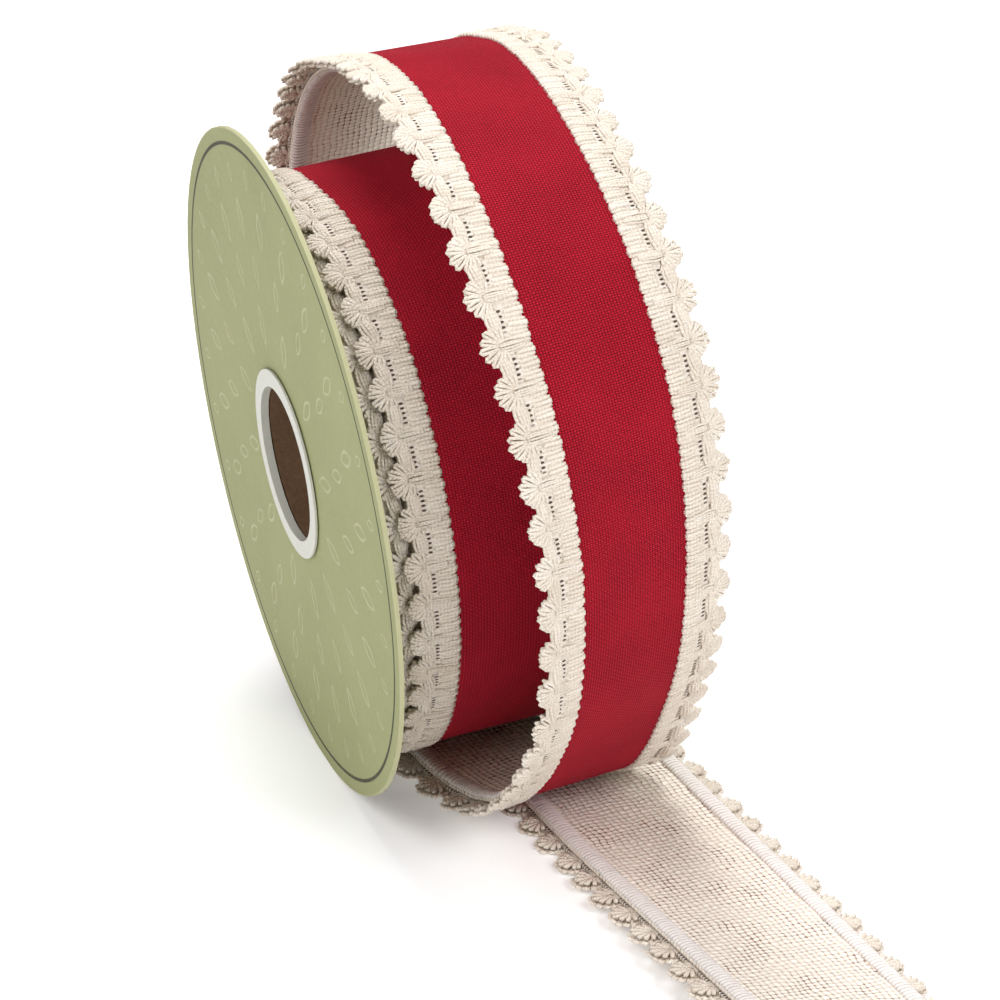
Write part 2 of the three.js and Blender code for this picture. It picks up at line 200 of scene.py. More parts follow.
def on_lower_turn(p):
    """Points of the turn below the outermost one, wound a little to one side."""
    turn = roll_turn(p[..., 0])
    drift = LOWER_DRIFT * np.sin(np.radians(turn) + LOWER_PHASE)
    across = LOWER_CENTRE + drift + p[..., 1] * LOWER_WIDE
    radius = turn_radius(turn) - BAND_TOP - LOWER_DEPTH + p[..., 2] * LOWER_FLAT
    return spool_point(across, radius, turn)


# ---------------------------------------------------------------- mesh helpers
def make_mesh(name, points_mm, quads, material, attributes):
    """A smooth object of quads, kept above the floor, with vectors at its points."""
    points = (np.asarray(points_mm) + SHIFT) / PER_METRE
    points[:, 2] = np.maximum(points[:, 2], FLOOR_GAP)
    quads = np.asarray(quads, dtype=np.int32)
    mesh = bpy.data.meshes.new(name)
    mesh.vertices.add(len(points))
    mesh.vertices.foreach_set("co", points.astype(np.float32).ravel())
    mesh.loops.add(quads.size)
    mesh.loops.foreach_set("vertex_index", quads.ravel())
    mesh.polygons.add(len(quads))
    mesh.polygons.foreach_set("loop_start", np.arange(0, quads.size, 4, dtype=np.int32))
    mesh.polygons.foreach_set("use_smooth", np.ones(len(quads), dtype=bool))
    mesh.update(calc_edges=True)
    for key, values in attributes.items():
        layer = mesh.attributes.new(key, "FLOAT_VECTOR", "POINT")
        layer.data.foreach_set("vector", np.asarray(values, dtype=np.float32).ravel())
    mesh.validate()
    obj = bpy.data.objects.new(name, mesh)
    bpy.context.scene.collection.objects.link(obj)
    mesh.materials.append(material)
    return obj


def joined(parts):
    """Points, quads and places of several parts as those of one mesh."""
    points, quads, places = zip(*parts)
    starts = np.cumsum([0] + [len(p) for p in points])
    quads = [q + start for q, start in zip(quads, starts)]
    return np.vstack(points), np.vstack(quads), np.vstack(places)


def ring_quads(rings, count, looped):
    i = np.arange(rings if looped else rings - 1)[:, None]
    j = np.arange(count)[None, :]
    a, b = i * count, ((i + 1) % rings) * count
    k = (j + 1) % count
    return np.stack([a + j, b + j, b + k, a + k], -1).reshape(-1, 4)


def strip(mapper, distances, section, looped=False, swell=None, about=None):
    """A closed strip from a ring of (across, out) points, scaled about a point where it swells."""
    rings = len(distances)
    count = len(section)
    local = np.empty((rings, count, 3))
    local[..., 0] = np.asarray(distances)[:, None]
    local[..., 1:] = section
    if swell is not None:
        local[..., 1:] = about + (section - about) * swell[:, None, None]
    quads = ring_quads(rings, count, looped)
    if not looped:
        caps = []
        for base, flip in ((0, False), ((rings - 1) * count, True)):
            for m in range(count // 2 - 1):
                face = [base + m, base + m + 1, base + count - 2 - m, base + count - 1 - m]
                caps.append(face[::-1] if flip else face)
        quads = np.vstack([quads, caps])
    return mapper(local).reshape(-1, 3), quads, local.reshape(-1, 3)


def sheet_section(half, low, high, columns):
    across = np.linspace(-half, half, columns)
    top = np.column_stack([across, np.full(columns, high)])
    under = np.column_stack([across[::-1], np.full(columns, low)])
    return np.vstack([under, top])[::-1]


STRAND_CORNERS = np.radians([45, 135, 225, 315])
SIDE_PROBE = 0.05
TINY = 1e-9


def strands(mapper, paths, radii, reference):
    """Four-sided strands: paths (n, m, 3) in ribbon places, radii (n, m), reference (n, 3)."""
    n, m, _ = paths.shape
    centre = mapper(paths)
    side = unit(mapper(paths + SIDE_PROBE * reference[:, None, :]) - centre)
    tangent = np.empty_like(centre)
    tangent[:, 1:-1] = centre[:, 2:] - centre[:, :-2]
    tangent[:, 0] = centre[:, 1] - centre[:, 0]
    tangent[:, -1] = centre[:, -1] - centre[:, -2]
    tangent = unit(tangent + TINY)
    side = unit(side - tangent * np.sum(side * tangent, -1, keepdims=True))
    other = np.cross(tangent, side)
    cosine, sine = np.cos(STRAND_CORNERS), np.sin(STRAND_CORNERS)
    ring = side[:, :, None, :] * cosine[:, None] + other[:, :, None, :] * sine[:, None]
    points = centre[:, :, None, :] + ring * radii[:, :, None, None]
    gap = np.linalg.norm(np.diff(centre, axis=1), axis=-1)
    run = np.concatenate([np.zeros((n, 1)), np.cumsum(gap, axis=1)], axis=1)
    marks = np.empty(points.shape)
    marks[..., 0] = cosine
    marks[..., 1] = sine
    marks[..., 2] = run[:, :, None]
    start = (np.arange(n) * m * 4)[:, None, None]
    i = np.arange(m - 1)[None, :, None] * 4
    j = np.arange(4)[None, None, :]
    k = (j + 1) % 4
    a = start + i
    quads = np.stack([a + j, a + k, a + 4 + k, a + 4 + j], -1).reshape(-1, 4)
    first = start[:, 0, 0]
    last = first + (m - 1) * 4
    caps = np.vstack([
        np.stack([first + 3, first + 2, first + 1, first], -1),
        np.stack([last, last + 1, last + 2, last + 3], -1),
    ])
    return points.reshape(-1, 3), np.vstack([quads, caps]), marks.reshape(-1, 3)


class Heap:
    """Collects strands into one mesh."""

    def __init__(self, mapper):
        self.mapper = mapper
        self.parts, self.tints = [], []

    def add(self, paths, radii, reference, tint):
        part = strands(self.mapper, paths, radii, reference)
        self.parts.append(part)
        each = len(part[0]) // len(paths)
        self.tints.append(np.repeat(np.column_stack([tint, tint, tint]), each, axis=0))

    def mesh(self, name, material):
        points, quads, marks = joined(self.parts)
        return make_mesh(name, points, quads, material,
                         {"strand": marks, "tint": np.vstack(self.tints)})


# ---------------------------------------------------------------- crochet trim
# Places across are from the ribbon's middle, and out is from its centre line.
MIDDLE_JITTER, VALLEY_JITTER, END_MARGIN = 0.22, 0.25, 0.05
UPRIGHT, SIDEWAYS = (0, 0, 1), (1, 0, 0)

BAR_PITCH, BAR_MIDDLE, BAR_THREADS = 2.68, 15.5, 0.87
BAR_JITTER, BAR_REACH, BAR_SLANT, BAR_OUT_JITTER = 0.07, 0.12, 0.03, 0.03
BAR_ACROSS = np.array([13.35, 13.6, 14.4, 15.6, 16.8, 17.75])
BAR_OUT = np.array([0.95, 1.32, 1.5, 1.44, 1.4, 1.1])
BAR_SPREAD = np.array([0.6, 0.92, 1.0, 1.0, 1.0, 1.0])
BAR_RADIUS = np.array([0.36, 0.49, 0.51, 0.5, 0.5, 0.36])
BEAD_SWELL = np.array([1.2, 1.35, 1.12, 1.0, 1.0, 1.0])
BEAD_SHARE = np.array([1, 1, 0.4, 0, 0, 0])
BEAD_LONGER, BEAD_HIGHER, BESIDE_HIGHER = 0.13, 0.11, -0.035

CORD_ACROSS, CORD_OUT, CORD_RADIUS, CORD_STEPS = 17.85, 1.15, 0.24, 5
CORD_SWAY, CORD_RISE = 0.12, 0.1

BUNDLE_THREADS, BUNDLE_RADIUS, BUNDLE_DROP = 0.52, 0.3, 0.05
BUNDLE_JITTER, BUNDLE_OUT_JITTER = 0.07, 0.04
BUNDLE_ACROSS = np.array([14.6, 15.6, 16.9, 18.2, 19.4, 20.6])
BUNDLE_OUT = np.array([1.5, 1.82, 1.85, 1.7, 1.65, 1.6])
BUNDLE_SPREAD = np.array([0.7, 0.75, 0.85, 1.0, 0.95, 0.7])

LENS_RUN = np.array([-1, -0.62, 0, 0.62, 1])
LENS_HALF, LENS_THREADS, LENS_MIDDLE = 3.0, 0.64, 20.35
LENS_SHAPE = np.sqrt(1 - 0.93 * LENS_RUN ** 2)
LENS_RADIUS = 0.42 - 0.14 * LENS_RUN ** 2
LENS_TURN, LENS_TURN_JITTER, LENS_SLOPE = 0.14, 0.12, 0.8
LENS_BASE, LENS_HEIGHT, LENS_FALL = 0.8, 1.15, 3.0

FAN_ROOT, FAN_REACH = 19.8, 4.9
FAN_SIDE_REACH, FAN_MIDDLE_REACH = 0.72, 0.28
FAN_FALL, FAN_JITTER, FAN_TWIST, FAN_OUT_JITTER = 0.3, 1.8, 6, 0.04
LOOP_ALONG = np.array([0.08, 0.36, 0.68, 0.95, 1, 0.95, 0.68, 0.36, 0.08])
LOOP_ASIDE = 0.42 * np.array([-0.2, -0.6, -1, -1, 0, 1, 1, 0.6, 0.2])
LOOP_RISE = np.array([0.25, 0.8, 0.9, 0.6, 0.35, 0.6, 0.9, 0.8, 0.25])
LOOP_RADIUS = np.array([0.24, 0.36, 0.44, 0.47, 0.46, 0.47, 0.44, 0.36, 0.24])
FILL_ALONG = np.array([0.08, 0.45, 0.8, 1.0])
FILL_RISE = np.array([0.1, 0.45, 0.35, 0.05])
FILL_RADIUS = np.array([0.35, 0.6, 0.66, 0.34])


class Crochet:
    """The crochet of one edge. Its parts share one source of chance, so their order is fixed."""

    def __init__(self, heap, seed, length, side):
        self.heap, self.length, self.side = heap, length, side
        self.rng = rng = np.random.default_rng(seed)
        self.count = count = round(length / SCALLOP)
        self.pitch = pitch = length / count
        self.middle = (np.arange(count) + 0.5) * pitch + rng.normal(0, MIDDLE_JITTER, count)
        self.valley = (np.arange(count - 1) + 1.0) * pitch \
            + rng.normal(0, VALLEY_JITTER, count - 1)
        self.shade = rng.normal(0, 1, count)

    def put(self, s, v, n, radius, reference, tint):
        paths = np.stack(np.broadcast_arrays(s, self.side * v, n), -1)
        paths[..., 0] = np.clip(paths[..., 0], END_MARGIN, self.length - END_MARGIN)
        reference = np.broadcast_to(reference, (len(paths), 3)) * np.array([1, self.side, 1])
        self.heap.add(paths, np.broadcast_to(radius, paths.shape[:2]), reference, tint)

    def ribs(self):
        """Ribs of three threads, with a bead at their end."""
        rng = self.rng
        bars = round(self.length / BAR_PITCH)
        bar = (np.arange(bars) + 0.5) * self.length / bars + rng.normal(0, BAR_JITTER, bars)
        reach = rng.normal(0, BAR_REACH, bars)
        slant = rng.normal(0, BAR_SLANT, bars)
        for k in (-1, 0, 1):
            longer, higher = (BEAD_LONGER, BEAD_HIGHER) if k == 0 else (0.0, BESIDE_HIGHER)
            offset = BAR_THREADS * k * BAR_SPREAD
            s = bar[:, None] + offset + slant[:, None] * (BAR_ACROSS - BAR_MIDDLE)
            v = BAR_ACROSS - longer * BEAD_SHARE + reach[:, None] * 0.5
            n = BAR_OUT + rng.normal(0, BAR_OUT_JITTER, (bars, 1)) + higher
            radius = BAR_RADIUS * (BEAD_SWELL if k == 0 else 1) * rng.uniform(0.95, 1.05, (bars, 1))
            self.put(s, v, n, radius, SIDEWAYS, rng.normal(0, 1, bars))

    def cord(self):
        """A thin cord along the ribs."""
        steps = np.linspace(0, self.length, self.count * CORD_STEPS + 1)
        v = CORD_ACROSS + CORD_SWAY * np.sin(steps * 4 * math.pi / self.pitch)
        n = CORD_OUT + CORD_RISE * np.sin(steps * 6 * math.pi / self.pitch)
        self.put(steps[None, :], v[None, :], n[None, :], CORD_RADIUS, UPRIGHT, np.zeros(1))

    def bundles(self):
        """A bundle of five threads from each fan's root across the ribs."""
        rng, count = self.rng, self.count
        for k in (-2, -1, 0, 1, 2):
            s = self.middle[:, None] + BUNDLE_THREADS * k * BUNDLE_SPREAD \
                + rng.normal(0, BUNDLE_JITTER, (count, 1))
            n = BUNDLE_OUT - BUNDLE_DROP * abs(k) + rng.normal(0, BUNDLE_OUT_JITTER, (count, 1))
            tint = self.shade * 0.5 + rng.normal(0, 0.7, count)
            self.put(s, BUNDLE_ACROSS, n, BUNDLE_RADIUS, SIDEWAYS, tint)

    def lenses(self):
        """A lens of five parallel threads in each valley."""
        rng, count = self.rng, self.count - 1
        turned = rng.normal(0, LENS_TURN_JITTER, count) + LENS_TURN * self.side
        swell = rng.uniform(0.92, 1.1, (count, 1))
        for q in (-2.0, -1.0, 0.0, 1.0, 2.0):
            a = LENS_RUN * LENS_HALF
            across = q * LENS_THREADS * LENS_SHAPE * swell
            s = self.valley[:, None] + a - across * turned[:, None]
            v = LENS_MIDDLE + across + a * turned[:, None] * LENS_SLOPE
            n = LENS_BASE + LENS_HEIGHT * LENS_SHAPE * (1 - (q / LENS_FALL) ** 2) * swell
            self.put(s, v, n, LENS_RADIUS, UPRIGHT, rng.normal(0, 1, count))

    def open_fans(self):
        """How far each fan opens, how it is turned, and its size."""
        rng, count = self.rng, self.count
        self.opening = rng.uniform(94, 106, count)
        self.twist = rng.normal(0, FAN_TWIST, count)
        self.size = rng.uniform(0.95, 1.05, count)

    def fan(self, number, spread, along, aside, rise, low, radius, shorter):
        """A fan of strands at each tip."""
        rng, count = self.rng, self.count
        for k in range(number):
            share = (k + 0.5) / number * 2 - 1
            jitter = rng.normal(0, FAN_JITTER, count)
            angle = np.radians(share * spread * self.opening + self.twist + jitter)
            reach = FAN_REACH * (FAN_SIDE_REACH + FAN_MIDDLE_REACH * np.cos(angle)) - shorter
            run = along * (reach * self.size * rng.uniform(0.96, 1.04, count))[:, None]
            sine, cosine = np.sin(angle)[:, None], np.cos(angle)[:, None]
            s = self.middle[:, None] + sine * run + cosine * aside
            v = FAN_ROOT + cosine * run - sine * aside
            n = low + rise * (1 - FAN_FALL * abs(share)) \
                + rng.normal(0, FAN_OUT_JITTER, (count, 1))
            thick = radius * rng.uniform(0.95, 1.05, (count, 1))
            self.put(s, v, n, thick, UPRIGHT, self.shade * 0.6 + rng.normal(0, 0.8, count))


def full_trim(heap, seed, length, side):
    """The trim of a turn that is seen from above: loops at the tips, thick strands under them."""
    trim = Crochet(heap, seed, length, side)
    trim.ribs()
    trim.cord()
    trim.bundles()
    trim.lenses()
    trim.open_fans()
    trim.fan(9, 1.0, LOOP_ALONG, LOOP_ASIDE, LOOP_RISE, 0.95, LOOP_RADIUS, 0.0)
    trim.fan(7, 0.85, FILL_ALONG, 0, FILL_RISE, 0.3, FILL_RADIUS, 0.35)


def plain_trim(heap, seed, length, side):
    """The trim of a turn of which only the tips show."""
    trim = Crochet(heap, seed, length, side)
    trim.ribs()
    trim.cord()
    trim.lenses()
    trim.open_fans()
    trim.fan(10, 1.0, FILL_ALONG, 0, FILL_RISE * 1.6, 0.9, FILL_RADIUS * 0.9, 0.1)


BRAID_ACROSS = np.array([13.4, 13.65, 14.6, 15.7, 16.8, 17.7, 18.3, 19.1, 19.8])
BRAID_TOP = np.array([0.7, 1.25, 1.64, 1.61, 1.57, 1.42, 1.3, 1.3, 0.95])
BRAID_UNDER = 0.15


def braid(mapper, length, steps, looped=False):
    """The solid ground of both trims under their ribs; its places count scallops of one size."""
    distances = np.linspace(0, length, steps)
    if looped:
        distances = distances[:-1]
    parts = []
    for side in (-1, 1):
        top = np.column_stack([side * BRAID_ACROSS, BRAID_TOP])
        under = np.column_stack([side * BRAID_ACROSS, np.full(len(BRAID_ACROSS), BRAID_UNDER)])
        if side > 0:
            top, under = top[::-1], under[::-1]
        points, quads, local = strip(mapper, distances, np.vstack([top, under[::-1]]), looped)
        local[:, 0] *= SCALLOP * round(length / SCALLOP) / length
        parts.append((points, quads, local))
    return joined(parts)


# ---------------------------------------------------------------- materials
class Nodes:
    """Short calls for building a material."""

    def __init__(self, name):
        self.material = bpy.data.materials.new(name)
        self.material.use_nodes = True
        self.tree = self.material.node_tree
        self.shader = self.tree.nodes["Principled BSDF"]

    def add(self, kind, **settings):
        node = self.tree.nodes.new(kind)
        for key, value in settings.items():
            setattr(node, key, value)
        return node

    def link(self, value, socket):
        if isinstance(value, bpy.types.NodeSocket):
            self.tree.links.new(value, socket)
        elif value is not None:
            socket.default_value = value

    def math(self, operation, a, b=None, c=None, clamp=False):
        node = self.add("ShaderNodeMath", operation=operation, use_clamp=clamp)
        for value, socket in zip((a, b, c), node.inputs):
            self.link(value, socket)
        return node.outputs[0]

    def plus(self, a, b, clamp=False):
        return self.math("ADD", a, b, clamp=clamp)

    def minus(self, a, b):
        return self.math("SUBTRACT", a, b)

    def times(self, a, b):
        return self.math("MULTIPLY", a, b)

    def parted(self, a, b):
        return self.math("DIVIDE", a, b)

    def scaled(self, value, by, plus, clamp=False):
        return self.math("MULTIPLY_ADD", value, by, plus, clamp=clamp)

    def fraction(self, a):
        return self.math("FRACT", a)

    def distance(self, a, b):
        return self.math("ABSOLUTE", self.minus(a, b))

    def centred(self, a):
        return self.minus(a, 0.5)

    def greater(self, a, b):
        return b if a is None else self.math("MAXIMUM", a, b)

    def attribute(self, name):
        return self.add("ShaderNodeAttribute", attribute_name=name).outputs["Vector"]

    def split(self, vector):
        node = self.add("ShaderNodeSeparateXYZ")
        self.link(vector, node.inputs[0])
        return node.outputs[0], node.outputs[1], node.outputs[2]

    def join(self, x, y, z):
        node = self.add("ShaderNodeCombineXYZ")
        for value, socket in zip((x, y, z), node.inputs):
            self.link(value, socket)
        return node.outputs[0]

    def place(self):
        return self.add("ShaderNodeTexCoord").outputs["Object"]

    def noise(self, vector, scale, detail=2.0, rough=0.5):
        node = self.add("ShaderNodeTexNoise")
        self.link(vector, node.inputs["Vector"])
        node.inputs["Scale"].default_value = scale
        node.inputs["Detail"].default_value = detail
        node.inputs["Roughness"].default_value = rough
        return node.outputs["Fac"]

    def span(self, value, low, high, to_low=0.0, to_high=1.0):
        node = self.add("ShaderNodeMapRange", clamp=True)
        self.link(value, node.inputs["Value"])
        for key, number in (("From Min", low), ("From Max", high),
                            ("To Min", to_low), ("To Max", to_high)):
            self.link(number, node.inputs[key])
        return node.outputs["Result"]

    def mix(self, factor, a, b):
        node = self.add("ShaderNodeMix", data_type="RGBA")
        self.link(factor, node.inputs["Factor"])
        self.link(a if isinstance(a, bpy.types.NodeSocket) else (*a, 1), node.inputs["A"])
        self.link(b if isinstance(b, bpy.types.NodeSocket) else (*b, 1), node.inputs["B"])
        return node.outputs["Result"]

    def bump(self, height, distance):
        node = self.add("ShaderNodeBump")
        self.link(height, node.inputs["Height"])
        node.inputs["Distance"].default_value = distance
        node.inputs["Strength"].default_value = 1.0
        self.link(node.outputs[0], self.shader.inputs["Normal"])

    def finish(self, colour, roughness, specular):
        self.link(colour, self.shader.inputs["Base Color"])
        self.link(roughness, self.shader.inputs["Roughness"])
        self.shader.inputs["Specular IOR Level"].default_value = specular
        return self.material


def srgb(r, g, b):
    return tuple(((c / 255 + 0.055) / 1.055) ** 2.4 if c > 10 else c / 255 / 12.92
                 for c in (r, g, b))


# The darker red is painted shade between the threads; the lighter red is the red of the floats.
RED_WEAVE_SHADE, RED_HIGH = srgb(40, 0, 7), srgb(189, 30, 50)
# The darkest yarn colour is painted shade where the yarn sinks.
YARN_SHADE, YARN_WARM, YARN_LIGHT = srgb(224, 206, 190), srgb(243, 231, 217), srgb(252, 244, 233)
# The hole colour is painted shade in the gaps, tinted by the red face behind them.
CLOTH_HOLE_SHADE, CLOTH_FRONT_SHADE = srgb(146, 108, 94), srgb(150, 128, 108)
# The groove colour is painted shade between the stitches.
SEAM_GROOVE_SHADE, SEAM_THREAD, SEAM_WARM = srgb(156, 136, 126), srgb(250, 243, 239), srgb(222, 206, 196)
# The slit colour is painted shade in the braid's openings.
CREAM, SHADE, BRAID_SLIT_SHADE = srgb(250, 243, 234), srgb(219, 203, 184), srgb(84, 62, 54)
SIDE_DARK, SIDE_LIGHT = srgb(172, 152, 134), srgb(238, 228, 216)
GREEN_DARK, GREEN_LIGHT, GREEN_PALE = srgb(139, 142, 96), srgb(168, 170, 122), srgb(194, 196, 158)
CARD_LINE, CARD_EDGE = srgb(44, 42, 24), srgb(180, 178, 140)
BOARD_DARK, BOARD_LIGHT, BOARD_SEAM = srgb(88, 64, 46), srgb(130, 102, 78), srgb(158, 132, 108)
RING_DARK, RING_LIGHT = srgb(184, 184, 172), srgb(220, 219, 210)

# Pitches of threads along and across, in millimetres
BAND_PITCH, CLOTH_PITCH = (0.52, 0.66), (1.45, 1.42)
BRAID_PLY, COTTON_PLY, SIDE_PLY = 0.9, 0.85, 1.6
SLIT_PITCH, SLIT_HALF, SLIT_TALL = 1.04, 0.26, 0.46
SLIT_ROWS = ((18.4, 0.0), (19.4, 0.52))
SLIT_REACH = (2.2, 2.6)  # slits fade out at this distance from a valley
BOARD_TURN = 62.0
RIM_LINE, RIM_EDGE = 71.4, (74.55, 74.9)
# Rings of petals on the card: radius, number, half length, half width, and start in petals
PETAL_RINGS = ((31.0, 12, 5.2, 2.1, 0.0), (43.5, 18, 4.4, 1.9, 0.5),
               (55.0, 22, 5.0, 2.2, 0.0), (65.0, 30, 2.6, 1.5, 0.5))
PETAL_OUTLINE = 0.72
# Heights of relief, in metres
BAND_RELIEF, CLOTH_RELIEF, SEAM_RELIEF, BRAID_RELIEF = 0.00022, 0.00045, 0.0002, 0.0004
COTTON_RELIEF, SIDE_RELIEF = 0.00012, 0.0006
CARD_RELIEF, BOARD_RELIEF, RING_RELIEF = 0.00008, 0.00025, 0.00004


def plain_weave(nodes, s, v, pitch):
    """Height from 0 in the holes to 1 on the floats, and which yarn lies on top."""
    a = nodes.parted(s, pitch[0])
    b = nodes.parted(v, pitch[1])
    cells = nodes.plus(nodes.math("FLOOR", a), nodes.math("FLOOR", b))
    over = nodes.math("MODULO", nodes.math("ABSOLUTE", cells), 2.0)
    fa = nodes.scaled(nodes.fraction(a), 2.0, -1.0)
    fb = nodes.scaled(nodes.fraction(b), 2.0, -1.0)
    a2 = nodes.times(fa, fa)
    b2 = nodes.times(fb, fb)

    def float_height(across, along):
        round_part = nodes.math("SQRT", nodes.minus(1.0, nodes.times(across, 0.96)))
        long_part = nodes.minus(1.0, nodes.times(along, 0.45))
        return nodes.times(round_part, long_part)
    warp = float_height(b2, a2)
    weft = float_height(a2, b2)
    switch = nodes.add("ShaderNodeMix", data_type="FLOAT")
    nodes.link(over, switch.inputs["Factor"])
    nodes.link(weft, switch.inputs["A"])
    nodes.link(warp, switch.inputs["B"])
    return switch.outputs["Result"], over


def band_cloth(name):
    """Fine matte weave."""
    nodes = Nodes(name)
    ribbon = nodes.attribute("ribbon")
    s, v, n = nodes.split(ribbon)
    wander = nodes.noise(ribbon, 0.35)
    height, over = plain_weave(nodes, nodes.scaled(wander, 0.5, s), v, BAND_PITCH)
    height = nodes.times(height, nodes.scaled(over, -0.22, 1.0))
    fibre = nodes.noise(nodes.join(nodes.times(s, 2.0), nodes.times(v, 0.5), n), 2.2, 3.0)
    cloud = nodes.noise(ribbon, 0.05, 3.0)
    # Painted shade: the red darkens where the threads sink and on the lower warp floats; fibre and
    # cloud add random tone.
    tone = nodes.plus(nodes.times(nodes.span(height, 0.25, 0.9), 0.85), nodes.times(fibre, 0.35))
    tone = nodes.plus(tone, nodes.times(nodes.centred(cloud), 0.35), clamp=True)
    nodes.bump(nodes.plus(height, nodes.times(fibre, 0.3)), BAND_RELIEF)
    return nodes.finish(nodes.mix(tone, RED_WEAVE_SHADE, RED_HIGH),
                        nodes.span(height, 0.2, 1.0, 0.95, 0.75), 0.1)


def open_cloth(name):
    """Open plain weave with uneven holes in painted shade; its front shows only through the trims,
    in their painted shade.
    """
    nodes = Nodes(name)
    ribbon = nodes.attribute("ribbon")
    s, v, n = nodes.split(ribbon)
    wander = nodes.centred(nodes.noise(ribbon, 0.16))
    sway = nodes.centred(nodes.noise(ribbon, 0.1))
    height, over = plain_weave(nodes, nodes.scaled(wander, 2.6, s), nodes.scaled(sway, 2.4, v),
                               CLOTH_PITCH)
    fibre = nodes.noise(ribbon, 2.6, 3.0)
    spread = nodes.span(nodes.noise(ribbon, 0.09), 0.35, 0.65, 0.05, 0.4)
    tight = nodes.scaled(nodes.centred(nodes.noise(ribbon, 0.55)), 0.7, spread)
    # Painted shade: the holes get a dark colour, tinted by the red face that shows through them.
    hole = nodes.span(height, tight, nodes.plus(tight, 0.16))
    warm = nodes.mix(nodes.times(over, 0.6), YARN_LIGHT, YARN_WARM)
    # Painted shade: the yarn darkens where it sinks between floats.
    lit = nodes.span(nodes.times(height, nodes.plus(fibre, 0.6)), 0.25, 0.85)
    colour = nodes.mix(hole, CLOTH_HOLE_SHADE, nodes.mix(lit, YARN_SHADE, warm))
    # Painted shade: the front, seen only through the trims, is darkened as if in their shade.
    front = nodes.span(n, -0.4, -0.2)
    colour = nodes.mix(nodes.times(front, 0.6), colour, CLOTH_FRONT_SHADE)
    nodes.bump(nodes.plus(height, nodes.times(fibre, 0.25)), CLOTH_RELIEF)
    return nodes.finish(colour, 0.9, 0.1)


def stitched_seam(name):
    """Satin stitches side by side, with a groove between them."""
    nodes = Nodes(name)
    ribbon = nodes.attribute("ribbon")
    s, v, n = nodes.split(ribbon)
    groove = nodes.times(nodes.distance(nodes.fraction(nodes.parted(s, STITCH)), 0.5), 2.0)
    fibre = nodes.noise(nodes.join(nodes.times(s, 5.0), nodes.times(v, 0.8), n), 1.6)
    lump = nodes.noise(ribbon, 0.28)
    # Painted shade: the stitches darken into the groove between them.
    tone = nodes.scaled(fibre, 0.5, nodes.span(groove, 0.5, 0.9, 0.75, 0.0), clamp=True)
    colour = nodes.mix(tone, SEAM_GROOVE_SHADE, SEAM_THREAD)
    colour = nodes.mix(nodes.span(lump, 0.55, 0.8, 0.0, 0.3), colour, SEAM_WARM)
    nodes.bump(nodes.plus(fibre, nodes.times(lump, 1.2)), SEAM_RELIEF)
    return nodes.finish(colour, 0.8, 0.15)


def braid_ground(name):
    """Tight cream ground with small slits in each valley, painted as dark shade."""
    nodes = Nodes(name)
    ribbon = nodes.attribute("ribbon")
    s, v, _ = nodes.split(ribbon)
    wide = nodes.math("ABSOLUTE", v)
    phase = nodes.fraction(nodes.scaled(s, 1 / SCALLOP, 0.5))
    near = nodes.times(nodes.distance(phase, 0.5), SCALLOP)
    ds = nodes.times(nodes.centred(nodes.fraction(nodes.parted(s, SLIT_PITCH))), SLIT_PITCH)
    total = None
    for row, shift in SLIT_ROWS:
        du = nodes.parted(nodes.minus(nodes.math("ABSOLUTE", ds), shift), SLIT_HALF)
        dv = nodes.parted(nodes.minus(wide, row), SLIT_TALL)
        reach = nodes.plus(nodes.times(du, du), nodes.times(dv, dv))
        total = nodes.greater(total, nodes.span(reach, 0.6, 1.3, 1.0, 0.0))
    total = nodes.times(total, nodes.span(near, *SLIT_REACH, 0.95, 0.0))
    fibre = nodes.noise(ribbon, 1.9, 3.0)
    ply = nodes.math("SINE", nodes.times(s, 2 * math.pi / BRAID_PLY))
    tone = nodes.scaled(ply, 0.15, nodes.scaled(fibre, 0.7, 0.2), clamp=True)
    # Painted shade: the slits are dark spots painted on the solid ground.
    colour = nodes.mix(total, nodes.mix(tone, SHADE, CREAM), BRAID_SLIT_SHADE)
    nodes.bump(nodes.minus(nodes.scaled(ply, 0.2, fibre), total), BRAID_RELIEF)
    return nodes.finish(colour, 0.9, 0.1)


def cotton(name):
    """Twisted cotton thread; each strand has a tint of its own."""
    nodes = Nodes(name)
    cosine, sine, run = nodes.split(nodes.attribute("strand"))
    tint, _, _ = nodes.split(nodes.attribute("tint"))
    phase = nodes.times(run, 2 * math.pi / COTTON_PLY)
    twist = nodes.plus(nodes.times(nodes.math("SINE", phase), cosine),
                       nodes.times(nodes.math("COSINE", phase), sine))
    place = nodes.place()
    fibre = nodes.noise(place, 2600.0, 3.0)
    cloud = nodes.noise(place, 90.0)
    tone = nodes.plus(nodes.times(nodes.scaled(twist, 0.5, 0.5), 0.3), nodes.times(fibre, 0.55))
    tone = nodes.plus(tone, nodes.times(tint, 0.07))
    tone = nodes.plus(tone, nodes.times(nodes.minus(cloud, 0.4), 0.5), clamp=True)
    nodes.bump(nodes.plus(nodes.times(twist, 0.6), fibre), COTTON_RELIEF)
    return nodes.finish(nodes.mix(tone, SHADE, CREAM), 0.9, 0.1)


def wound_side(name):
    """Layers of wound cloth, seen on their edges."""
    nodes = Nodes(name)
    place = nodes.place()
    _, _, depth = nodes.split(nodes.attribute("ribbon"))
    ply = nodes.math("SINE", nodes.scaled(nodes.noise(place, 120.0), 3.0,
                                          nodes.times(depth, 2 * math.pi / SIDE_PLY)))
    fibre = nodes.noise(place, 1400.0, 3.0)
    tone = nodes.scaled(ply, 0.3, nodes.times(fibre, 1.1), clamp=True)
    nodes.bump(nodes.plus(ply, fibre), SIDE_RELIEF)
    return nodes.finish(nodes.mix(tone, SIDE_DARK, SIDE_LIGHT), 0.95, 0.1)


